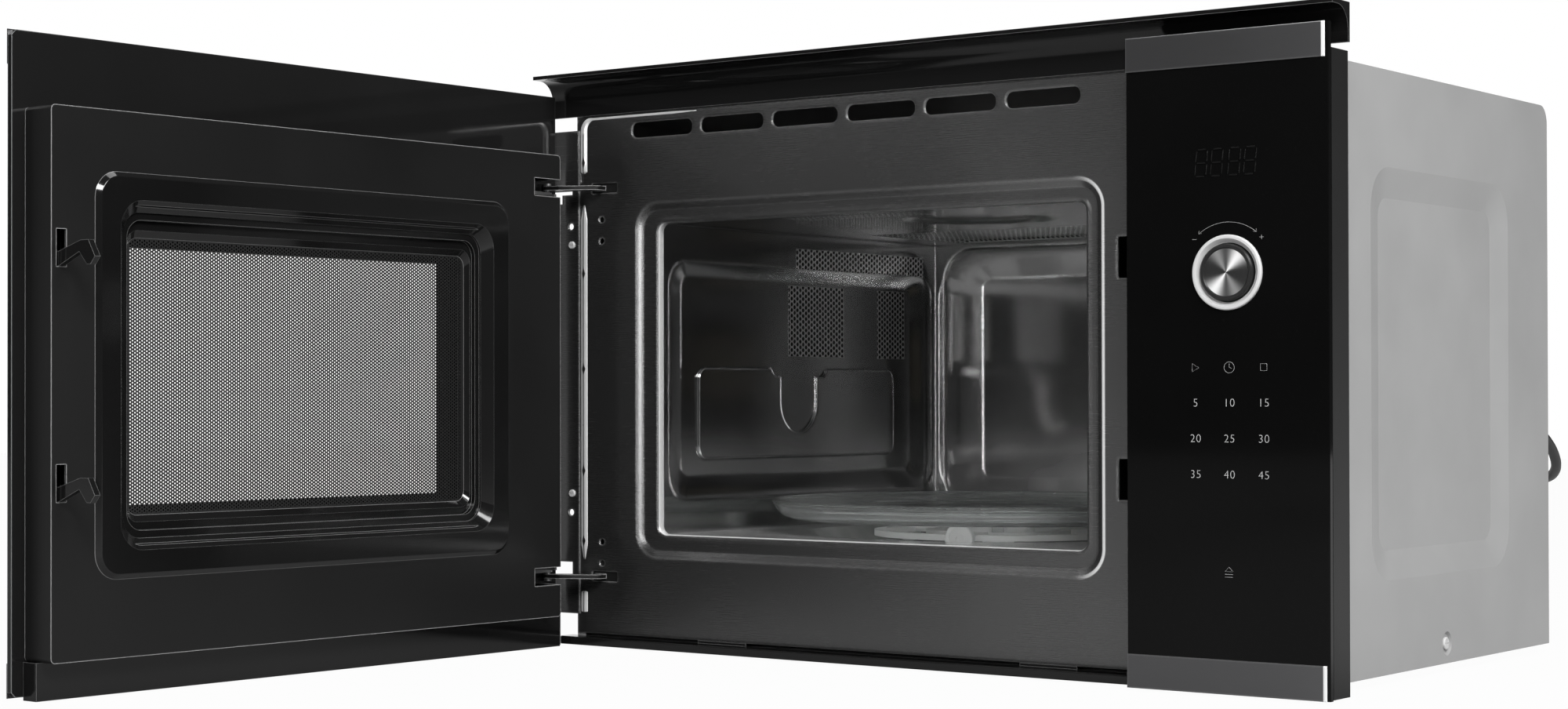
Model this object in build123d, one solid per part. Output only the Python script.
from build123d import *
import math
import os

# Built-in microwave oven, millimetres. +X is to the right, +Y runs back into the niche, +Z is up.
# The origin is on the back of the front frame, at mid-width and level with the front's lower edge.

# Front
FRONT_W = 594.0            # width of door and panel together
FRONT_H = 382.0            # height of the glass
FRONT_Y = -29.0            # outer face of the glass; the frame's back is at y = 0
GLASS_T = 3.7
PANEL_LEFT = 170.0         # left edge of the control panel
STRIP_H = 20.0             # height of the steel strips
STRIP_T = 1.0

# Casing
CASE_HALF = 277.0          # half the casing's width
CASE_LOW = 3.8
CASE_TOP = 367.8
CASE_BACK = 365.0
SHEET = 0.7                # casing sheet
FOOT_LOW = -2.0            # underside of the feet
LIP_SCREWS = (-268.0, -90.0, 90.0, 268.0)
LIP_SCREW_Z = 350.0
FAN_X = 189.0
FAN_Z = 186.0
FOOT_SPOTS = [(-200.0, 32.0), (200.0, 32.0), (-200.0, 315.0), (200.0, 315.0)]
PRESS_DEPTH = 4.5          # pressed field in each side

# Stainless front plate
PLATE_T = 1.0
RECESS_DEPTH = 2.2         # recess round the oven opening
OPEN_X = (-205.6, 125.4)
OPEN_Z = (77.3, 290.3)
VENT_COUNT = 6
VENT_FIRST_X = -200.6
VENT_PITCH = 59.6
LATCH_Z = (255.15, 121.15)     # middle heights of the two latch slots
HINGE_Z = (316.7, 46.9)        # middle heights of the two hinge arms

# Oven cavity, inner faces
CAV_X = (-206.0, 125.5)
CAV_Z = (77.0, 290.5)
CAV_FRONT = 8.05
CAV_BACK = 356.0
WALL_T = 0.6
BACK_PRESS = 5.8           # depth of the pressed back wall
SIDE_PRESS = 5.0           # depth of the pressed left wall

# Door
DOOR_W = 465.0
PIVOT = (-285.0, -22.0)    # the hinge line, standing upright
OPEN_ANGLE = 91.35         # the door stands open at this angle
BOX_S = (21.6, 455.6)      # door box, measured from the hinge edge of the glass
BOX_Z = (20.5, 338.0)
BOX_T = (3.7, 27.6)        # measured inwards from the outer face of the glass
PIN_R = 1.6
PIN_BORE_R = 1.66

# Knob
KNOB_X = 235.0
KNOB_Z = 242.4
KNOB_R = 16.6
SHAFT_R = 4.0

# Turntable
TABLE_X = -40.0
TABLE_Y = 174.0
TABLE_R = 157.5
WELL_Z = 67.0              # floor of the round well
ROLLER_R = 9.7
ROLLER_Z = 77.0
ROLLER_RING_R = 92.0
ROLLER_ANGLES = (-75.0, 45.0, 165.0)

# Mains lead: 7 mm across, 1.3 m long with its coil
CORD_D = 7.0
CORD_EXIT = (256.5, CASE_BACK, 147.5)
GLAND_END = 385.0          # the lead leaves its boot here
CORD_ROUTE = [             # free stretch, from the boot down to the coil on the shelf
    (256.5, GLAND_END, 147.5),
    (256.5, 398.0, 147.5),
    (257.3, 411.3, 143.0),
    (258.8, 424.1, 133.5),
    (257.4, 437.0, 121.0),
    (247.0, 450.5, 113.0),
    (230.0, 459.6, 111.8),
    (212.0, 466.0, 102.0),
    (200.0, 468.5, 78.0),
    (188.5, 471.0, 53.5),
    (174.0, 473.0, 30.5),
    (155.5, 474.0, 12.0),
    (134.0, 473.5, 1.5),
    (116.0, 473.5, 1.5),
]
COIL_SPOT = (111.0, 428.0, 1.5)   # middle of the coil, at the height of its lower turns
COIL_R = 38.0              # radius at the middle of the turns
COIL_PITCH = 7.5           # from one turn to the next beside it
COIL_LAYER = 7.6           # from the lower turns to the upper ones
COIL_TURNS = 4
PLUG_SPOT = (52.0, 473.5)

PARTS = {}


def box(x0, x1, y0, y1, z0, z1):
    """Block between two corners."""
    middle = ((x0 + x1) / 2, (y0 + y1) / 2, (z0 + z1) / 2)
    return Pos(*middle) * Box(x1 - x0, y1 - y0, z1 - z0)


def rod(start, axis, radius, length):
    """Cylinder that starts at a point and runs along X, Y or Z."""
    turned = {"x": Rot(0, 90, 0), "y": Rot(-90, 0, 0), "z": Rot(0, 0, 0)}[axis]
    return Pos(*start) * turned * Cylinder(radius, length, align=(Align.CENTER, Align.CENTER, Align.MIN))


def area(u0, u1, v0, v1, radius=0.0):
    """Rectangle between two corners of a drawing plane, with round corners if asked."""
    size = (u1 - u0, v1 - v0)
    shape = RectangleRounded(*size, radius) if radius else Rectangle(*size)
    return Pos((u0 + u1) / 2, (v0 + v1) / 2) * shape


def drawing_plane(axis, at):
    """Plane across X, Y or Z, with its drawing axes along (Y, Z), (X, Z) or (X, Y)."""
    planes = {
        "x": Plane(origin=(at, 0, 0), x_dir=(0, 1, 0), z_dir=(1, 0, 0)),
        "y": Plane(origin=(0, at, 0), x_dir=(1, 0, 0), z_dir=(0, -1, 0)),
        "z": Plane(origin=(0, 0, at), x_dir=(1, 0, 0), z_dir=(0, 0, 1)),
    }
    return planes[axis]


def prism(axis, drawing, low, high):
    """Straight solid of a drawing, between two places on an axis."""
    start = high if axis == "y" else low
    return extrude(drawing_plane(axis, start) * drawing, high - low)


def tapered(axis, drawing_a, a, drawing_b, b):
    """Ruled solid between two outlines on parallel planes."""
    faces = [drawing_plane(axis, a) * drawing_a, drawing_plane(axis, b) * drawing_b]
    return loft(faces, ruled=True)


def grown(limits, by):
    """The limits of an area, moved outwards on all sides."""
    u0, u1, v0, v1, radius = limits
    return (u0 - by, u1 + by, v0 - by, v1 + by, radius + by)


def pressing(axis, mouth, face, floor, bottom, thickness):
    """Pocket of a pressed field, and the block that has to stand behind it."""
    way = 1.0 if bottom > face else -1.0
    slope = (face - way, bottom)
    reach = abs(bottom - face)
    flare = (floor[0] - mouth[0]) / reach
    pocket = tapered(axis, area(*grown(mouth, flare)), slope[0], area(*floor), bottom)
    backing = tapered(axis, area(*grown(mouth, flare + thickness)), slope[0],
                      area(*grown(floor, thickness)), bottom + way * thickness)
    return pocket, backing


def tube(radius, inner, axis, start, length):
    """Straight round tube."""
    return rod(start, axis, radius, length) - rod(start, axis, inner, length)


def on_door(shape):
    """Swing a piece that is drawn on the shut door to the open place."""
    x, y = PIVOT
    return Pos(x, y, 0) * Rot(0, 0, -OPEN_ANGLE) * Pos(-x, -y, 0) * shape


def door_box(s0, s1, t0, t1, z0, z1):
    """Block on the shut door: s from the hinge edge, t inwards from the outer face."""
    return box(s0 - FRONT_W / 2, s1 - FRONT_W / 2, t0 + FRONT_Y, t1 + FRONT_Y, z0, z1)


def door_prism(limits, t0, t1):
    """Rounded plate on the shut door."""
    s0, s1, z0, z1, radius = limits
    return prism("y", area(s0 - FRONT_W / 2, s1 - FRONT_W / 2, z0, z1, radius), t0 + FRONT_Y, t1 + FRONT_Y)


def door_taper(outer, t0, inner, t1):
    """Ruled solid on the shut door between two rounded outlines."""
    shift = FRONT_W / 2
    first = area(outer[0] - shift, outer[1] - shift, *outer[2:])
    second = area(inner[0] - shift, inner[1] - shift, *inner[2:])
    return tapered("y", first, t0 + FRONT_Y, second, t1 + FRONT_Y)


def keep(name, *shapes):
    """Store the finished solids of one sub-part under its name."""
    solids = []
    for shape in shapes:
        solids += list(shape.solids())
    PARTS[name] = solids


# Casing

def side_fields(sign):
    """Pressed field and screw dimple of one casing side, as pocket and backing."""
    face = sign * CASE_HALF
    field = pressing("x", (74.0, 293.0, 61.0, 308.5, 25.0), face, (94.5, 272.5, 78.0, 291.0, 12.0),
                     face - sign * PRESS_DEPTH, SHEET)
    spot = Pos(187.8, 16.2)
    dimple = tapered("x", spot * Circle(8.5), face + sign, spot * Circle(6.0), face - sign * 1.5)
    boss = tapered("x", spot * Circle(9.4), face + sign, spot * Circle(6.9), face - sign * (1.5 + SHEET))
    return [field[0], dimple], [field[1], boss]


def outer_cover():
    outside = box(-CASE_HALF, CASE_HALF, PLATE_T, CASE_BACK, CASE_LOW, CASE_TOP)
    outside = fillet(outside.edges().filter_by(Axis.X).group_by(Axis.Z)[-1].sort_by(Axis.Y)[-1], 12.0)
    inner = CASE_HALF - SHEET
    inside = box(-inner, inner, PLATE_T - 5, CASE_BACK - SHEET, CASE_LOW - 5, CASE_TOP - SHEET)
    inside = fillet(inside.edges().filter_by(Axis.X).group_by(Axis.Z)[-1].sort_by(Axis.Y)[-1], 11.1)
    pockets = []
    for sign in (1.0, -1.0):
        cut, backing = side_fields(sign)
        pockets += cut
        for block in backing:
            inside = inside - block
    shell = outside - inside
    for pocket in pockets:
        shell = shell - pocket
    shell = shell - box(-267.5, 267.5, CASE_BACK - 3, CASE_BACK + 3, CASE_LOW - 3, 345.0)
    for x in (-277.5, 270.0):
        shell = shell - rod((x, 187.8, 16.2), "x", 2.1, 7.5)
    for x in LIP_SCREWS:
        shell = shell - rod((x, CASE_BACK - 2, LIP_SCREW_Z), "y", 2.1, 4.0)
    keep("outer_cover", shell)


def base_plate():
    outer = CASE_HALF - SHEET - 0.1
    tray = box(-outer, outer, 1.2, 362.8, CASE_LOW, 24.0)
    tray = tray - box(-outer + 0.9, outer - 0.9, 2.1, 361.9, CASE_LOW + 0.9, 30.0)
    slots = [Pos(150.0 + 12.0 * i, 250.0) * SlotOverall(40.0, 5.0, rotation=90) for i in range(9)]
    tray = tray - prism("z", Sketch() + slots, CASE_LOW - 1, CASE_LOW + 2)
    for x, y in FOOT_SPOTS:
        tray = tray - rod((x, y, CASE_LOW - 1), "z", 3.0, 4.0)
    tray = tray - box(-270.0, 270.0, 0.0, 3.0, CASE_LOW + 1, 30.0)
    for sign in (1.0, -1.0):
        tray = tray - rod((sign * 272.0 - 5.0, 187.8, 16.2), "x", 1.8, 10.0)
        tray = tray - box(sign * 275.9 - 1.6, sign * 275.9 + 1.6, 177.0, 198.6, CASE_LOW + 1.2, 30.0)
        lug = box(sign * 272.4 - 0.5, sign * 272.4 + 0.5, 176.0, 199.6, CASE_LOW + 0.5, 24.0)
        tray = tray + (lug - rod((sign * 272.4 - 2.0, 187.8, 16.2), "x", 1.8, 4.0))
    keep("base_plate", tray)


def feet():
    pads = []
    for x, y in FOOT_SPOTS:
        pad = fillet(rod((x, y, FOOT_LOW), "z", 11.0, CASE_LOW - FOOT_LOW).edges().group_by(Axis.Z)[0], 1.5)
        pads.append(pad + rod((x, y, CASE_LOW - 0.5), "z", 2.95, 3.0))
    keep("feet", *pads)


def rear_panel():
    sheet = box(-275.0, 275.0, 363.4, CASE_BACK - SHEET - 0.1, 5.0, 355.0)
    slots = []
    for row in range(6):
        z = FAN_Z - 35 + 14.0 * row
        slots += [Pos(FAN_X - 35 + 14.0 * i, z) * SlotOverall(11.0, 4.5) for i in range(6)]
    slots += [Pos(-190.0 + 16.0 * i, 330.0) * SlotOverall(16.0, 4.5, rotation=90) for i in range(14)]
    sheet = sheet - prism("y", Sketch() + slots, 362.0, 366.0)
    sheet = sheet - rod((CORD_EXIT[0], 362.0, CORD_EXIT[2]), "y", 8.0, 4.0)
    for x in LIP_SCREWS:
        sheet = sheet - rod((x, 362.0, LIP_SCREW_Z), "y", 1.8, 4.0)
    keep("rear_panel", sheet)


def side_screw(sign):
    """Cross-head screw in the dimple of one casing side."""
    inner, outer = sorted((sign * (CASE_HALF - 1.5), sign * CASE_HALF))
    head = rod((inner, 187.8, 16.2), "x", 4.0, outer - inner)
    head = fillet(head.edges().sort_by(Axis.X)[-1 if sign > 0 else 0], 0.8)
    face = sign * CASE_HALF
    head = head - box(face - 0.6, face + 0.6, 185.0, 190.6, 15.7, 16.7)
    head = head - box(face - 0.6, face + 0.6, 187.3, 188.3, 13.4, 19.0)
    shank_start = min(sign * (CASE_HALF - 1.4), sign * (CASE_HALF - 11.0))
    return head + rod((shank_start, 187.8, 16.2), "x", 1.75, 9.6)


def rear_screw(x):
    """Cross-head screw in the casing's rear lip."""
    head = rod((x, CASE_BACK, LIP_SCREW_Z), "y", 4.0, 1.8)
    head = fillet(head.edges().sort_by(Axis.Y)[-1], 0.9)
    deep = CASE_BACK + 1.2
    head = head - box(x - 2.8, x + 2.8, deep, deep + 2, LIP_SCREW_Z - 0.5, LIP_SCREW_Z + 0.5)
    head = head - box(x - 0.5, x + 0.5, deep, deep + 2, LIP_SCREW_Z - 2.8, LIP_SCREW_Z + 2.8)
    return head + rod((x, CASE_BACK - 8, LIP_SCREW_Z), "y", 1.75, 8.1)


def trim_screw(z):
    """Small raised screw of the side trim."""
    head = rod((-280.0, -2.4, z), "y", 2.6, 1.4)
    head = fillet(head.edges().sort_by(Axis.Y)[0], 0.6)
    return head - box(-282.0, -278.0, -3.0, -2.0, z - 0.4, z + 0.4)


def case_screws():
    sides = [side_screw(sign) for sign in (1.0, -1.0)]
    rear = [rear_screw(x) for x in LIP_SCREWS]
    trim = [trim_screw(z) for z in (278.0, 104.0)]
    keep("case_screws", *sides, *rear, *trim)


# Front plate and trims

def plate_outline():
    body = area(-276.0, 276.0, 7.0, 367.5)
    corner = area(-276.0, -270.0, 361.5, 367.5) - Pos(-270.0, 361.5) * Circle(6.0)
    return body - corner


def plate_cutouts():
    vents = [Pos(VENT_FIRST_X + VENT_PITCH * i, 355.2) * RectangleRounded(52.0, 10.5, 4.6)
             for i in range(VENT_COUNT)]
    latch = [area(148.8, 158.4, z - 12.55, z + 12.55, 1.0) for z in LATCH_Z]
    hinge = [area(-262.8, -240.4, z - 3.3, z + 3.3, 1.0) for z in HINGE_Z]
    holes = [Pos(-254.0, z) * Circle(2.0) for z in (294.8, 280.0, 70.8, 56.0)]
    slits = [area(-272.6, -271.4, z - 8, z + 8, 0.5) for z in (330.0, 262.0, 135.0)]
    return Sketch() + vents + latch + hinge + holes + slits


def front_plate():
    outer = (-223.7, 138.4, 61.0, 304.5, 18.0)
    inner = (-218.8, 133.5, 65.9, 299.6, 13.1)
    pocket, backing = pressing("y", outer, 0.0, inner, RECESS_DEPTH, PLATE_T)
    sheet = prism("y", plate_outline(), 0.0, PLATE_T) + (backing & box(-300, 300, 0, 20, 0, 400)) - pocket
    lip = prism("y", area(OPEN_X[0] - 3, OPEN_X[1] + 3, OPEN_Z[0] - 3, OPEN_Z[1] + 3, 9.0),
                RECESS_DEPTH, CAV_FRONT - 0.05)
    sheet = sheet + lip
    opening = prism("y", area(*OPEN_X, *OPEN_Z, 6.0), -5.0, 20.0)
    sheet = sheet - opening - prism("y", plate_cutouts(), -1.0, 3.0)
    rim = sheet.edges().filter_by_position(Axis.Y, RECESS_DEPTH - 0.01, RECESS_DEPTH + 0.01)
    rim = rim.filter_by(lambda edge: OPEN_X[0] - 1 < edge.center().X < OPEN_X[1] + 1
                        and OPEN_Z[0] - 1 < edge.center().Z < OPEN_Z[1] + 1)
    keep("front_plate", fillet(rim, 1.9))


def top_trim():
    radius = 14.0
    with BuildSketch(Plane.YZ) as profile:
        with BuildLine():
            Polyline((-2.0, 379.0), (-2.0, 367.5), (0.0, 367.5), (0.0, 395.5), (-23.3, 395.5),
                     (-23.3, 393.0), (-2.0 - radius, 393.0))
            RadiusArc((-2.0 - radius, 393.0), (-2.0, 379.0), radius)
        make_face()
    bar = Pos(-FRONT_W / 2, 0, 0) * extrude(profile.sketch, FRONT_W)
    bar = bar - box(277.0, 297.5, -2.5, 0.5, 367.0, 372.6)
    for x in (-200.0, 0.0, 200.0):
        bar = bar + box(x - 20, x + 20, -0.5, 1.0, 367.5, 371.5)
    keep("top_trim", bar)


def bottom_trim():
    bar = fillet(box(-281.0, 169.0, -13.0, 0.0, -0.5, 5.1).edges().filter_by(Axis.X).group_by(Axis.Y)[0], 0.8)
    bar = bar - box(-282.0, 170.0, -0.2, 1.0, CASE_LOW - 0.1, 6.0)
    for x in (-150.0, 100.0):
        bar = bar + box(x - 20, x + 20, -0.5, 1.0, 1.5, 7.0)
    keep("bottom_trim", bar)


def side_trim():
    strip = area(-296.0, -273.5, 20.0, 358.0)
    strip = strip - area(-297.0, -279.9, HINGE_Z[0] - 3.4, HINGE_Z[0] - 1.0)
    strip = strip - area(-297.0, -289.1, HINGE_Z[0] - 9.6, HINGE_Z[0] - 1.0)
    strip = strip - area(-297.0, -280.1, HINGE_Z[1] - 1.0, HINGE_Z[1] + 9.0)
    for z in (291.0, 90.7):
        strip = strip - Pos(-281.0, z) * Circle(2.25)
    keep("side_trim", prism("y", strip, -1.0, 0.0))


# Control panel

def panel_glass():
    plate = box(PANEL_LEFT, FRONT_W / 2, FRONT_Y, FRONT_Y + GLASS_T, 0.0, FRONT_H)
    plate = chamfer(plate.edges().filter_by(Axis.Z).group_by(Axis.Y)[0], 0.5)
    keep("panel_glass", plate - rod((KNOB_X, FRONT_Y - 1, KNOB_Z), "y", 19.8, 8.0))


def steel_strips(name, x0, x1, hold=lambda shape: shape):
    strips = []
    for z in (0.0, FRONT_H - STRIP_H):
        strip = box(x0, x1, FRONT_Y - STRIP_T, FRONT_Y, z, z + STRIP_H)
        strips.append(hold(chamfer(strip.edges().group_by(Axis.Y)[0], 0.3)))
    keep(name, *strips)


def panel_carrier():
    front = FRONT_Y + GLASS_T + 1.3
    carrier = box(PANEL_LEFT + 0.6, 296.7, front, -1.3, 0.5, 367.5)
    carrier = fillet(carrier.edges().filter_by(Axis.Z).group_by(Axis.X)[-1].sort_by(Axis.Y)[-1], 1.0)
    carrier = carrier + box(PANEL_LEFT + 3.0, 294.5, front, 0.0, 6.0, 365.0)
    carrier = carrier + box(PANEL_LEFT + 2.0, 295.0, FRONT_Y + GLASS_T, front, 2.0, 366.0)
    carrier = carrier - box(PANEL_LEFT + 5.2, 292.2, front + 2.2, 1.0, 8.5, 362.5)
    carrier = carrier - box(202.0, 270.0, FRONT_Y, front + 3, 290.5, 322.5)
    keep("panel_carrier", carrier - rod((KNOB_X, FRONT_Y, KNOB_Z), "y", 19.6, 10.0))


def knob_bezel():
    with BuildSketch(Plane.XZ) as profile:
        with BuildLine():
            Polyline((17.2, -3.0), (19.5, -3.0), (19.5, 0.05), (21.75, 0.05), (21.75, 1.0))
            ThreePointArc((21.75, 1.0), (21.4, 1.75), (20.6, 2.0))
            Polyline((20.6, 2.0), (19.6, 2.0), (17.6, -0.4), (17.2, -0.6), (17.2, -3.0))
        make_face()
    ring = revolve(profile.sketch, Axis.Z)
    keep("knob_bezel", Pos(KNOB_X, FRONT_Y, KNOB_Z) * Rot(90, 0, 0) * ring)


def display_module():
    body = box(203.3, 268.3, FRONT_Y + GLASS_T, -14.5, 292.0, 321.0)
    digits = []
    for i in range(4):
        x = 217.2 + 9.6 * i + (1.6 if i > 1 else 0)
        digits.append(box(x - 3.2, x + 3.2, FRONT_Y + GLASS_T - 1, FRONT_Y + GLASS_T + 0.4, 298.4, 313.9))
    for digit in digits:
        body = body - digit
    keep("display_module", body)


def control_board():
    board = box(PANEL_LEFT + 7, 290.0, -14.5, -12.9, 20.0, 350.0)
    board = board + box(200.0, 262.0, -12.9, -4.0, 40.0, 64.0)
    board = board + box(196.0, 214.0, -12.9, -6.0, 90.0, 110.0)
    for i in range(4):
        board = board + rod((190.0 + 24.0 * i, -12.9, 150.0), "y", 5.0, 9.0)
    for row in range(4):
        for column in range(3):
            x = 214.5 + 21.35 * column
            z = 187.8 - 20.6 * row
            board = board + box(x - 6.0, x + 6.0, -21.0, -14.5, z - 6.0, z + 6.0)
    board = board + box(229.2, 241.2, -21.0, -14.5, 64.5, 76.5)
    board = board - rod((KNOB_X, -16.0, KNOB_Z), "y", 5.0, 5.0)
    keep("control_board", board + rotary_encoder())


def rotary_encoder():
    """Encoder soldered to the board; the knob's shaft slides through it."""
    body = box(KNOB_X - 13, KNOB_X + 13, -19.5, -14.5, KNOB_Z - 13, KNOB_Z + 13)
    body = body + rod((KNOB_X, -23.5, KNOB_Z), "y", 7.0, 4.0)
    return body - rod((KNOB_X, -24.0, KNOB_Z), "y", SHAFT_R + 0.05, 12.0)


def knob_shaft():
    shaft = rod((KNOB_X, -30.0, KNOB_Z), "y", 2.4, 4.0) + rod((KNOB_X, -26.4, KNOB_Z), "y", SHAFT_R, 23.0)
    keep("knob_shaft", shaft)


def knob():
    with BuildSketch(Plane.XZ) as profile:
        with BuildLine():
            Polyline((2.45, -2.4), (KNOB_R, -2.4), (KNOB_R, 2.0), (KNOB_R - 0.8, 2.8), (14.4, 2.8),
                     (13.8, 2.1), (0.0, 2.1), (0.0, 1.2), (2.45, 1.2), (2.45, -2.4))
        make_face()
    keep("knob", Pos(KNOB_X, FRONT_Y, KNOB_Z) * Rot(90, 0, 0) * revolve(profile.sketch, Axis.Z))


# Oven cavity

def cavity_left_wall():
    face = CAV_X[0]
    wall = box(face - WALL_T, face, CAV_FRONT, CAV_BACK, *CAV_Z)
    pocket, backing = pressing("x", (14.0, 352.0, 100.0, 264.0, 16.0), face,
                               (34.0, 326.0, 116.0, 256.0, 9.0), face - SIDE_PRESS, WALL_T)
    wall = wall + (backing & box(-230.0, face, CAV_FRONT, CAV_BACK, *CAV_Z)) - pocket
    raised = area(53.0, 300.0, 128.0, 191.5, 8.0)
    notch = Pos(174.0, 168.0) * Circle(23.0) + area(151.0, 197.0, 168.0, 200.0)
    notch = notch + area(140.0, 210.0, 186.0, 200.0, 6.9)
    step = prism("x", raised - notch, face - SIDE_PRESS - 0.4, face - SIDE_PRESS + 2.0)
    keep("cavity_left_wall", wall + step)


def cavity_right_wall():
    face = CAV_X[1]
    wall = box(face, face + WALL_T, CAV_FRONT, CAV_BACK, *CAV_Z)
    pocket, backing = pressing("x", (60.0, 320.0, 104.0, 262.0, 14.0), face,
                               (72.0, 308.0, 116.0, 250.0, 6.0), face + 3.0, WALL_T)
    wall = wall + (backing & box(face, 150.0, CAV_FRONT, CAV_BACK, *CAV_Z)) - pocket
    wall = wall - box(120.0, 140.0, 150.0, 236.0, 176.0, 222.0)
    keep("cavity_right_wall", wall - rod((120.0, 90.0, 272.0), "x", 9.0, 20.0))


def cavity_ceiling():
    top = CAV_Z[1]
    sheet = box(CAV_X[0] - WALL_T, CAV_X[1] + WALL_T, CAV_FRONT, CAV_BACK, top, top + WALL_T)
    spot = Pos(-16.0, 111.0)
    dish = tapered("z", spot * Circle(53.0), top - 0.5, spot * Circle(47.0), top + 3.0)
    boss = tapered("z", spot * Circle(53.8), top - 0.5, spot * Circle(47.8), top + 3.0 + WALL_T)
    field = (-172.0, 92.0, 209.0, 337.0, 12.0)
    pocket, backing = pressing("z", field, top, grown(field, -4.0), top + 2.0, WALL_T)
    above = box(-250.0, 150.0, 0.0, 380.0, top, top + 20.0)
    keep("cavity_ceiling", sheet + (boss & above) + (backing & above) - dish - pocket)


def cavity_floor():
    top = CAV_Z[0]
    sheet = box(CAV_X[0] - WALL_T, CAV_X[1] + WALL_T, CAV_FRONT, CAV_BACK, top - WALL_T, top)
    spot = Pos(TABLE_X, TABLE_Y)
    well = tapered("z", spot * Circle(135.0), top + 0.5, spot * Circle(125.0), WELL_Z)
    under = tapered("z", spot * Circle(135.8), top + 0.5, spot * Circle(125.8), WELL_Z - WALL_T)
    below = box(-250.0, 150.0, 0.0, 380.0, 50.0, top)
    sheet = sheet + (under & below) - well
    keep("cavity_floor", sheet - rod((TABLE_X, TABLE_Y, 60.0), "z", 6.0, 10.0))


def cavity_back_wall():
    sheet = box(CAV_X[0] - WALL_T, CAV_X[1] + WALL_T, CAV_BACK, CAV_BACK + WALL_T,
                CAV_Z[0] - WALL_T, CAV_Z[1] + WALL_T)
    pocket, backing = pressing("y", (-199.0, 118.5, 84.5, 286.3, 24.0), CAV_BACK,
                               (-165.4, 85.0, 109.0, 263.0, 7.0), CAV_BACK + BACK_PRESS, WALL_T)
    behind = box(-250.0, 150.0, CAV_BACK, CAV_BACK + 30, 60.0, 300.0)
    keep("cavity_back_wall", sheet + (backing & behind) - pocket)


def grill_parts():
    low = CAV_Z[1] + 2.0 + WALL_T + 0.2
    tray = box(-180.0, 100.0, 205.0, 341.0, low, low + 36.0)
    tray = tray - box(-178.8, 98.8, 206.2, 339.8, low - 1, low + 34.8)
    for y in (240.0, 306.0):
        tray = tray - rod((-185.0, y, low + 16.0), "x", 6.05, 290.0)
    keep("grill_housing", tray)
    heaters = []
    for y in (240.0, 306.0):
        heater = tube(5.2, 4.0, "x", (-176.0, y, low + 16.0), 272.0)
        for x in (-184.0, 92.0):
            heater = heater + rod((x, y, low + 16.0), "x", 6.0, 12.0)
        heaters.append(heater)
    keep("grill_element", *heaters)


def oven_lamp():
    socket = box(127.0, 133.0, 78.0, 102.0, 260.0, 284.0) + rod((133.0, 90.0, 272.0), "x", 9.0, 16.0)
    bulb = rod((149.0, 90.0, 272.0), "x", 10.0, 22.0)
    keep("oven_lamp", socket + fillet(bulb.edges().sort_by(Axis.X)[-1], 8.0))


# Turntable drive

def turntable_motor():
    body = rod((TABLE_X, TABLE_Y, 46.0), "z", 24.5, 18.0)
    body = body + box(TABLE_X - 32, TABLE_X + 32, TABLE_Y - 6, TABLE_Y + 6, 62.0, WELL_Z - WALL_T)
    body = body + rod((TABLE_X, TABLE_Y, 64.0), "z", 5.5, 2.0)
    keep("turntable_motor", body - rod((TABLE_X, TABLE_Y, 52.0), "z", 3.55, 20.0))


def turntable_coupler():
    hub = rod((TABLE_X, TABLE_Y, 53.0), "z", 3.5, 18.0) + rod((TABLE_X, TABLE_Y, 69.0), "z", 11.0, 17.4)
    for angle in (0, 120, 240):
        arm = Pos(TABLE_X, TABLE_Y, 0) * Rot(0, 0, angle) * box(0.0, 26.0, -4.5, 4.5, 76.0, 86.4)
        hub = hub + arm
    keep("turntable_coupler", hub)


def turntable_plate():
    with BuildSketch(Plane.XZ) as profile:
        with BuildLine():
            Polyline((0.0, 91.2), (0.0, 87.0), (141.0, 87.0))
            ThreePointArc((141.0, 87.0), (151.0, 90.0), (156.2, 96.5))
            ThreePointArc((156.2, 96.5), (157.3, 97.6), (TABLE_R, 98.6))
            ThreePointArc((TABLE_R, 98.6), (156.0, 100.3), (154.0, 100.0))
            ThreePointArc((154.0, 100.0), (147.5, 94.0), (139.0, 91.2))
            Line((139.0, 91.2), (0.0, 91.2))
        make_face()
    plate = revolve(profile.sketch, Axis.Z)
    for angle in (60, 180, 300):
        plate = plate + Rot(0, 0, angle) * (Pos(19.0, 0, 82.5) * Cylinder(4.0, 9.2))
    keep("turntable_plate", Pos(TABLE_X, TABLE_Y, 0) * plate)


def roller_ring():
    ring = tube(86.0, 78.0, "z", (0, 0, 75.0), 4.0)
    inner = tube(50.0, 44.0, "z", (0, 0, 75.0), 4.0)
    for angle in ROLLER_ANGLES:
        arm = box(47.0, 84.0, -7.0, 7.0, 75.0, 79.0)
        axle = rod((84.0, 0, ROLLER_Z), "x", 1.6, 10.5)
        stub = rod((84.0, 0, ROLLER_Z), "x", 2.4, 4.2)
        ring = ring + Rot(0, 0, angle) * (arm + axle + stub)
    keep("roller_ring", Pos(TABLE_X, TABLE_Y, 0) * (ring + inner))


def rollers():
    for number, angle in enumerate(ROLLER_ANGLES, start=1):
        wheel = rod((ROLLER_RING_R - 3.5, 0, ROLLER_Z), "x", ROLLER_R, 7.0)
        wheel = fillet(wheel.edges().filter_by(GeomType.CIRCLE), 1.2)
        groove = tube(6.6, 4.0, "x", (ROLLER_RING_R + 2.9, 0, ROLLER_Z), 1.0)
        wheel = wheel - groove - rod((ROLLER_RING_R - 5, 0, ROLLER_Z), "x", 1.66, 12.0)
        keep(f"roller_{number}", Pos(TABLE_X, TABLE_Y, 0) * Rot(0, 0, angle) * wheel)


# Machine compartment

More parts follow.
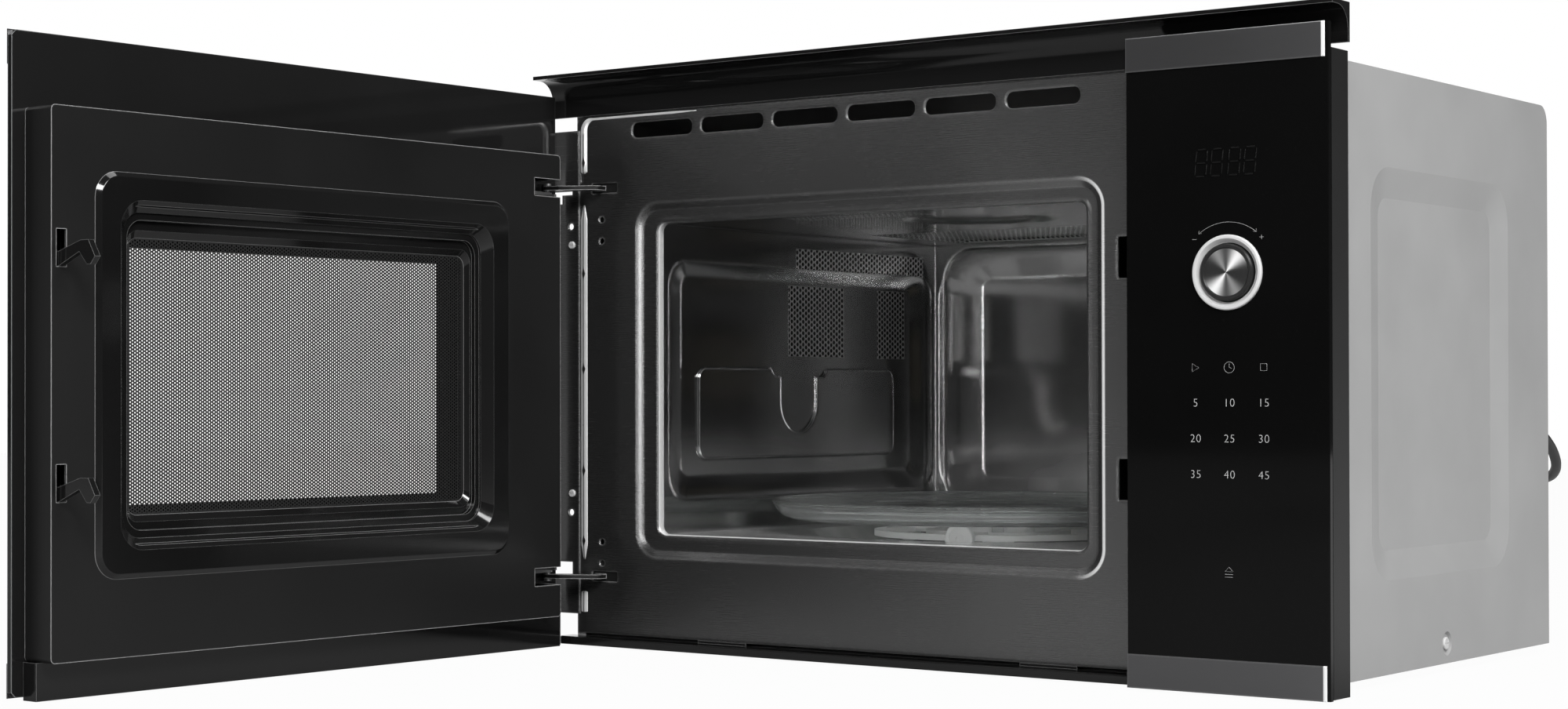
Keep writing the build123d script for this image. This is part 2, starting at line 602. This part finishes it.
def waveguide_parts():
    left = CAV_X[1] + 3.0 + WALL_T
    cover = box(CAV_X[1] + 1.4, CAV_X[1] + 2.2, 144.0, 242.0, 170.0, 228.0)
    keep("waveguide_cover", chamfer(cover.edges().filter_by(Axis.X), 6.0))
    duct = box(left + 0.1, 160.0, 146.0, 240.0, 172.0, 262.0)
    duct = duct - box(left - 1, 158.8, 147.2, 238.8, 173.2, 260.8)
    flange = box(left + 0.1, left + 1.1, 140.0, 246.0, 166.0, 268.0)
    duct = duct + flange - box(left - 1, left + 2, 147.2, 238.8, 176.0, 222.0)
    keep("waveguide", duct - rod((155.0, 193.0, 238.0), "x", 11.0, 10.0))


def magnetron():
    body = box(162.0, 176.0, 146.0, 240.0, 195.0, 281.0) + box(176.0, 232.0, 150.0, 236.0, 200.0, 276.0)
    for i in range(7):
        body = body - box(182.0 + 7.0 * i, 186.0 + 7.0 * i, 145.0, 172.0, 206.0, 270.0)
        body = body - box(182.0 + 7.0 * i, 186.0 + 7.0 * i, 214.0, 241.0, 206.0, 270.0)
    body = body + box(232.0, 258.0, 162.0, 224.0, 210.0, 266.0)
    body = body + rod((145.0, 193.0, 238.0), "x", 9.0, 17.0) + rod((160.1, 193.0, 238.0), "x", 14.0, 3.0)
    keep("magnetron", body)


def hv_transformer():
    """Laminated core with its two windings on a foot plate."""
    core = box(158.0, 254.0, 66.0, 146.0, 5.0, 92.0)
    windows = box(150.0, 262.0, 80.0, 96.0, 22.0, 75.0) + box(150.0, 262.0, 116.0, 132.0, 22.0, 75.0)
    coils = fillet(box(146.0, 266.0, 82.0, 130.0, 23.5, 73.5).edges().filter_by(Axis.Z), 14.0)
    coils = coils - box(158.0, 254.0, 96.0, 116.0, 20.0, 80.0) - box(159.0, 253.0, 60.0, 150.0, 20.0, 80.0)
    winding = box(157.0, 255.0, 82.0, 96.1, 23.5, 73.5) + box(157.0, 255.0, 115.9, 130.0, 23.5, 73.5)
    foot = box(152.0, 260.0, 58.0, 154.0, 4.85, 7.0)
    keep("hv_transformer", core - windows + coils + winding + foot)


def hv_capacitor():
    can = prism("z", area(176.0, 262.0, 178.0, 210.0, 15.9), 4.9, 62.0)
    posts = box(204.0, 210.0, 190.0, 198.0, 61.0, 72.0) + box(228.0, 234.0, 190.0, 198.0, 61.0, 72.0)
    keep("hv_capacitor", can + posts)


def fan_parts():
    x, z = FAN_X, FAN_Z
    shroud = box(x - 56, x + 56, 318.0, 362.9, z - 56, z + 56)
    shroud = shroud - box(x - 60, x + 60, 322.0, 340.0, z - 52, z + 52)
    shroud = shroud - rod((x, 330.0, z), "y", 50.0, 40.0) - rod((x, 310.0, z), "y", 34.0, 14.0)
    spider = box(x - 54, x + 54, 318.0, 326.0, z - 6, z + 6)
    keep("fan_shroud", shroud + spider - rod((x, 310.0, z), "y", 8.0, 40.0))
    motor = box(x - 22, x + 22, 288.0, 306.0, z - 28, z + 28) + rod((x, 306.0, z), "y", 7.0, 14.0)
    motor = motor + box(x - 18, x + 18, 280.0, 314.0, z - 24, z - 8)
    motor = motor + box(x - 28, x + 28, 314.0, 318.0, z - 12, z - 4)
    keep("fan_motor", motor - rod((x, 300.0, z), "y", 2.05, 30.0))
    rotor = rod((0, 303.0, 0), "y", 2.0, 40.0) + rod((0, 341.0, 0), "y", 12.0, 14.0)
    blade = Pos(0, 348.0, 0) * Rot(32, 0, 0) * box(11.0, 46.0, -1.0, 1.0, -8.0, 8.0)
    for i in range(5):
        rotor = rotor + Rot(0, 72 * i, 0) * blade
    keep("fan_impeller", Pos(x, 0, z) * rotor)


def line_filter():
    board = box(176.0, 262.0, 268.0, 348.0, 318.0, 319.6) + box(186.0, 212.0, 280.0, 304.0, 319.6, 340.0)
    board = board + rod((236.0, 292.0, 319.6), "z", 11.0, 14.0)
    board = board + box(190.0, 240.0, 322.0, 336.0, 319.6, 332.0)
    for x in (180.0, 258.0):
        board = board + rod((x, 344.0, 300.0), "z", 3.0, 18.5) + box(x - 3, x + 3, 343.0, 363.0, 300.0, 304.0)
    keep("line_filter", board)


# Latch and door release

def latch_housing():
    spine = box(159.0, 164.0, 1.0, 62.0, 96.0, 282.0)
    for z in LATCH_Z:
        spine = spine + box(145.0, 164.0, 1.0, 3.0, z - 20.0, z - 13.5)
        spine = spine + box(145.0, 164.0, 1.0, 3.0, z + 13.5, z + 20.0)
        spine = spine + box(146.0, 160.0, 3.2, 12.0, z - 20.0, z - 12.6)
    keep("latch_housing", spine)


def door_switches():
    switches = []
    for z in (LATCH_Z[0] + 6.0, LATCH_Z[1] + 6.0, 188.0):
        body = box(146.0, 158.9, 44.0, 60.0, z - 14.0, z + 14.0)
        body = body + box(150.5, 154.5, 41.0, 44.5, z - 2.0, z + 2.0)
        for step in (-9.0, 0.0, 9.0):
            body = body + box(151.5, 153.5, 59.5, 67.0, z + step - 2.5, z + step + 2.5)
        switches.append(body)
    keep("door_switches", *switches)


def release_slider():
    bar = box(150.5, 155.5, 33.0, 37.0, 96.0, 241.0)
    bar = bar + box(150.5, 155.5, 14.0, 36.0, 236.0, 241.0) + box(150.5, 155.5, 14.0, 36.0, 102.5, 107.5)
    keep("release_slider", bar + rod((153.0, 35.0, 58.0), "z", 3.0, 40.0))


def release_solenoid():
    coil = box(141.0, 165.0, 23.0, 47.0, 50.0, 84.0)
    coil = coil - box(143.0, 163.0, 22.0, 48.0, 54.0, 80.0) + tube(11.0, 3.05, "z", (153.0, 35.0, 52.0), 30.0)
    coil = coil + box(141.0, 165.0, 1.0, 25.0, 50.0, 54.0)
    keep("release_solenoid", coil - rod((153.0, 35.0, 53.0), "z", 3.05, 40.0))


# Hinge

def arm_outline():
    """Hinge arm seen from above: a slim eye at the pin that widens towards the plate."""
    x, y = PIVOT
    eye = Pos(x, y) * Circle(3.0)
    waist = Pos(x + 8.0, y + 4.6) * Circle(4.6)
    elbow = Pos(-256.0, -5.0) * Circle(4.8)
    arm = make_hull((eye + waist).edges()) + make_hull((waist + elbow).edges())
    return arm + area(-260.8, -251.2, -5.0, 12.0)


def hinge_arms():
    arms = []
    for z in HINGE_Z:
        arm = prism("z", arm_outline() - Pos(*PIVOT) * Circle(PIN_BORE_R), z - 1.5, z + 1.5)
        arm = arm + box(-268.0, -236.0, PLATE_T, 3.0, z - 17.0, z + 17.0)
        arms.append(arm + box(-262.0, -250.0, 2.0, 14.0, z - 6.0, z + 6.0))
    keep("hinge_arms", *arms)


def hinge_brackets():
    """Door side of each hinge: an angle inside the door box, with its riveted pin."""
    x, y = PIVOT
    brackets = []
    for z, way in zip(HINGE_Z, (1.0, -1.0)):
        near = z - way * 2.9
        low, high = sorted((near, near - way * 2.5))
        tongue = make_hull((Pos(x, y) * Circle(3.0) + area(-274.0, -258.0, y - 2.6, y + 3.5)).edges())
        leaf = prism("z", tongue + area(-274.0, -237.0, y - 2.6, y + 5.0), low, high)
        leg_low, leg_high = sorted((low if way > 0 else high, (low if way > 0 else high) - way * 26.0))
        leg = door_box(22.85, 24.9, 4.4, 25.0, leg_low, leg_high)
        pin_low, pin_high = sorted((near - way * 2.0, z + way * 3.3))
        pin = rod((x, y, pin_low), "z", PIN_R, pin_high - pin_low)
        head_low, head_high = sorted((z + way * 1.9, z + way * 3.3))
        head = rod((x, y, head_low), "z", 2.7, head_high - head_low)
        brackets.append(on_door(leaf + leg + pin + head))
    keep("hinge_brackets", *brackets)


# Door

def door_glass():
    plate = door_box(0.0, DOOR_W, 0.0, GLASS_T, 0.5, FRONT_H - 0.5)
    far = plate.edges().filter_by(Axis.Y).group_by(Axis.X)[-1]
    keep("door_glass", on_door(chamfer(far, 3.0)))


def door_slots(depth0, depth1):
    """Openings for the two hooks and the two hinge arms."""
    cuts = [door_box(444.9, 451.9, depth0, depth1, z - 9.2, z + 12.2) for z in LATCH_Z]
    cuts += [door_box(10.0, 48.0, 4.0, depth1, z - 7.6, z + 4.4) for z in HINGE_Z[:1]]
    cuts += [door_box(10.0, 48.0, 4.0, depth1, z - 4.4, z + 7.6) for z in HINGE_Z[1:]]
    return cuts


def door_frame():
    s0, s1 = BOX_S
    body = door_prism((s0, s1, *BOX_Z, 3.0), *BOX_T)
    body = body - door_prism((s0 + 1.2, s1 - 1.2, BOX_Z[0] + 1.2, BOX_Z[1] - 1.2, 1.8), 3.0, BOX_T[1] - 1.4)
    body = body - door_prism((90.0, 411.0, 84.0, 285.0, 8.0), 3.0, 30.0)
    for cut in door_slots(24.0, 30.0):
        body = body - cut
    choke = door_prism((98.0, 407.0, 93.0, 272.0, 7.0), GLASS_T + 0.1, 14.8)
    choke = choke - door_prism((99.2, 405.8, 94.2, 270.8, 5.8), 3.0, 16.0)
    web = door_prism((60.0, 438.0, 60.0, 308.0, 8.0), 13.4, 14.8)
    web = web - door_prism((100.0, 405.0, 95.0, 270.0, 5.0), 12.0, 16.0)
    post = door_prism((60.0, 438.0, 60.0, 308.0, 8.0), 13.4, BOX_T[1] - 1.0)
    post = post - door_prism((61.2, 436.8, 61.2, 306.8, 6.8), 12.0, 30.0)
    keep("door_frame", on_door(body + choke + web + post))


def door_bezel():
    """Glossy frame round the window, stepping down to the mesh."""
    low = BOX_T[1]
    top = low + 2.6
    body = door_taper((73.2, 424.6, 66.0, 302.5, 16.0), low, (77.0, 421.4, 69.0, 299.6, 13.0), top)
    body = fillet(body.faces().sort_by(Axis.Y)[-1].edges(), 0.9)
    body = body + door_prism((92.0, 409.0, 86.0, 283.0, 8.0), 16.0, low + 0.5)
    pocket = (91.0, 408.0, 82.0, 287.0, 17.0)
    floor = (98.0, 401.0, 89.0, 280.0, 13.0)
    body = body - door_taper(pocket, top + 0.5, floor, 24.0) - door_prism(floor, 22.5, 25.0)
    body = body - door_prism((102.0, 397.0, 93.5, 275.5, 11.0), 19.5, 23.0)
    body = body - door_taper((103.5, 395.5, 98.0, 270.0, 9.0), 19.8, (107.0, 391.0, 103.5, 264.0, 7.0), 15.0)
    keep("door_bezel", on_door(body))


def door_mesh():
    keep("door_mesh", on_door(door_prism((96.0, 410.0, 90.0, 279.0, 6.0), 14.9, 15.8)))


def door_rail():
    bar = door_box(1.0, 456.6, GLASS_T, 9.0, -1.5, BOX_Z[0]) + door_box(9.0, 456.6, 8.0, 15.6, -1.5, BOX_Z[0])
    keep("door_rail", on_door(bar))


def hook_outline():
    """Hook seen from the side: a shank that rises outwards, and a nose that drops behind the catch."""
    shank = [(-17.0, -0.5), (-17.0, -9.0), (-1.4, -9.0), (17.0, -1.5)]
    nose = [(23.7, -8.8), (27.0, -8.9), (31.0, -4.5), (25.0, 5.1), (18.3, 5.1), (-1.4, -0.5)]
    return make_face(Polyline(*shank, *nose, close=True))


def latch_key():
    """Sliding key in the door, with the two hooks that reach into the oven's front."""
    side = 446.4 - FRONT_W / 2
    key = door_box(446.4, 449.4, 12.0, 20.0, 108.0, 276.0)
    for z in LATCH_Z:
        key = key + prism("x", Pos(0, z) * hook_outline(), side, side + 4.0)
    key = key + door_box(446.4, 449.4, 12.0, 20.0, 200.0, 204.0)
    keep("latch_key", on_door(key))


def latch_guides():
    """Two guides that hold the key, and the peg that carries the spring."""
    deep = BOX_T[1] - 1.5
    guides = door_box(451.2, 454.2, 10.0, deep, 140.0, 291.0)
    for z in (150.0, 225.0):
        guide = door_box(441.0, 453.5, 10.0, deep, z - 5.0, z + 5.0)
        guides = guides + (guide - door_box(446.1, 449.7, 11.7, 20.3, z - 6.0, z + 6.0))
    guides = guides + door_box(440.0, 453.5, 10.0, deep, 287.0, 291.0)
    keep("latch_guides", on_door(guides))


def latch_spring():
    x = 447.9 - FRONT_W / 2
    y = 16.0 + FRONT_Y
    wire = Helix(pitch=2.2, height=10.2, radius=2.2, center=(x, y, 276.4))
    end = Plane(origin=wire @ 0, z_dir=wire % 0)
    coil = sweep(end * Circle(0.35), path=wire)
    keep("latch_spring", on_door(coil))


# Mains lead

def corner_radii(points):
    radii = []
    for before, here, after in zip(points, points[1:], points[2:]):
        first = Vector(*here) - Vector(*before)
        second = Vector(*after) - Vector(*here)
        half = math.radians(first.get_angle(second)) / 2
        radii.append(0.45 * min(first.length, second.length) / math.tan(half))
    return radii


def cord_gland():
    """Clamp bush in the rear panel, with the ribbed boot that guides the lead."""
    x, _, z = CORD_EXIT
    gland = rod((x, 359.0, z), "y", 9.0, 4.0) + rod((x, 362.0, z), "y", 7.9, 4.0)
    gland = gland + fillet(rod((x, 364.3, z), "y", 10.5, 3.7).edges().sort_by(Axis.Y)[-1], 1.2)
    boot = Pos(x, 368.0, z) * Rot(-90, 0, 0) * Cone(7.2, 4.6, GLAND_END - 368.0,
                                                    align=(Align.CENTER, Align.CENTER, Align.MIN))
    for y in (371.0, 375.0, 379.0):
        boot = boot - tube(9.0, 5.6 - 0.1 * (y - 371.0), "y", (x, y, z), 1.4)
    keep("cord_gland", gland + boot)


def cord_tube():
    radii = corner_radii(CORD_ROUTE)
    print("cord radii", [round(radius, 1) for radius in radii])
    path = FilletPolyline(*CORD_ROUTE, radius=radii)
    start = Vector(*CORD_ROUTE[0])
    end = Plane(origin=start, z_dir=Vector(*CORD_ROUTE[1]) - start)
    lead = sweep(end * Circle(CORD_D / 2), path=path)
    expected = math.pi * CORD_D ** 2 / 4 * path.length
    print("cord length", round(path.length, 1), "volume ratio", round(lead.volume / expected, 4))
    keep("cord_tube", lead)


def coil_point(turns):
    """Middle of the lead after some turns: spiralling in below and out again above."""
    radius = COIL_R + COIL_PITCH * (abs(turns - COIL_TURNS / 2) - COIL_TURNS / 4)
    climb = min(max((turns - COIL_TURNS / 2 + 0.25) / 0.5, 0.0), 1.0)
    lift = COIL_LAYER * (1 - math.cos(math.pi * climb)) / 2
    angle = math.radians(90) + 2 * math.pi * turns
    x, y, z = COIL_SPOT
    return Vector(x + radius * math.cos(angle), y + radius * math.sin(angle), z + lift)


def coil_tangent(turns):
    if turns in (0, COIL_TURNS):
        return Vector(-1, 0, 0)
    step = 0.01
    return (coil_point(turns + step) - coil_point(turns - step)).normalized()


def joined_arcs(start, start_way, end, end_way):
    """Two arcs that leave one point and reach the next in given directions."""
    chord = end - start
    ways = start_way + end_way
    slack = 2 * (1 - start_way.dot(end_way))
    reach = (-chord.dot(ways) + math.sqrt(chord.dot(ways) ** 2 + slack * chord.dot(chord))) / slack
    first = start + start_way * reach
    second = end - end_way * reach
    middle = (first + second) * 0.5
    return [Edge.make_tangent_arc(start, start_way, middle),
            Edge.make_tangent_arc(middle, (second - first).normalized(), end)]


def coil_gap(edges, spacing=3.0):
    """Least distance from the lead's surface to its own surface, measured on points."""
    points, places, run = [], [], 0.0
    for edge in edges:
        count = max(int(edge.length / spacing), 2)
        points += [edge @ (i / count) for i in range(count)]
        places += [run + edge.length * i / count for i in range(count)]
        run += edge.length
    pairs = ((a, b) for a in range(len(points)) for b in range(a)
             if places[a] - places[b] > 4 * CORD_D)
    return min((points[a] - points[b]).length for a, b in pairs) - CORD_D


def cord_coil():
    quarters = [i / 4 for i in range(4 * COIL_TURNS + 1)]
    start = Vector(*CORD_ROUTE[-1])
    edges = [Edge.make_line(start, coil_point(0))]
    for before, after in zip(quarters, quarters[1:]):
        edges += joined_arcs(coil_point(before), coil_tangent(before), coil_point(after), coil_tangent(after))
    last = coil_point(COIL_TURNS)
    edges.append(Edge.make_line(last, Vector(PLUG_SPOT[0] + 36.0, last.Y, last.Z)))
    print("coil length", round(sum(edge.length for edge in edges), 1), "self gap", round(coil_gap(edges), 2))
    end = Plane(origin=start, z_dir=(-1, 0, 0))
    keep("cord_coil", sweep(end * Circle(CORD_D / 2), path=Wire(edges)))


def mains_plug():
    """Flat round two-pin plug that lies on its back beside the coil."""
    x, y = PLUG_SPOT
    entry = coil_point(COIL_TURNS).Z
    body = fillet(rod((x, y, FOOT_LOW), "z", 19.0, 26.0).edges().filter_by(GeomType.CIRCLE), 2.0)
    boot = Pos(x + 17.0, y, entry) * Rot(0, 90, 0) * Cone(7.0, 4.6, 19.0,
                                                         align=(Align.CENTER, Align.CENTER, Align.MIN))
    body = body + boot
    for side in (-1.0, 1.0):
        body = body - box(x - 4.0, x + 4.0, y + side * 18.4 - 1.4, y + side * 18.4 + 1.4, 8.0, 30.0)
        pin = fillet(rod((x, y + side * 9.5, 22.0), "z", 2.4, 21.0).edges().sort_by(Axis.Z)[-1], 1.5)
        body = body + pin
    keep("mains_plug", body)


def main():
    outer_cover()
    base_plate()
    feet()
    rear_panel()
    case_screws()
    front_plate()
    top_trim()
    bottom_trim()
    side_trim()
    panel_glass()
    steel_strips("panel_steel_strips", PANEL_LEFT, FRONT_W / 2 - 2.0)
    panel_carrier()
    knob_bezel()
    display_module()
    control_board()
    knob_shaft()
    knob()
    cavity_left_wall()
    cavity_right_wall()
    cavity_ceiling()
    cavity_floor()
    cavity_back_wall()
    grill_parts()
    oven_lamp()
    turntable_motor()
    turntable_coupler()
    turntable_plate()
    roller_ring()
    rollers()
    waveguide_parts()
    magnetron()
    hv_transformer()
    hv_capacitor()
    fan_parts()
    line_filter()
    latch_housing()
    door_switches()
    release_slider()
    release_solenoid()
    hinge_arms()
    hinge_brackets()
    door_glass()
    steel_strips("door_steel_strips", -FRONT_W / 2, DOOR_W - FRONT_W / 2, on_door)
    door_frame()
    door_bezel()
    door_mesh()
    door_rail()
    latch_key()
    latch_guides()
    latch_spring()
    cord_gland()
    cord_tube()
    cord_coil()
    mains_plug()
    os.makedirs("parts", exist_ok=True)
    for name, solids in PARTS.items():
        shape = solids[0] if len(solids) == 1 else Compound(children=solids)
        export_step(shape, f"parts/{name}.step")
    print(len(PARTS), "nodes")


main()
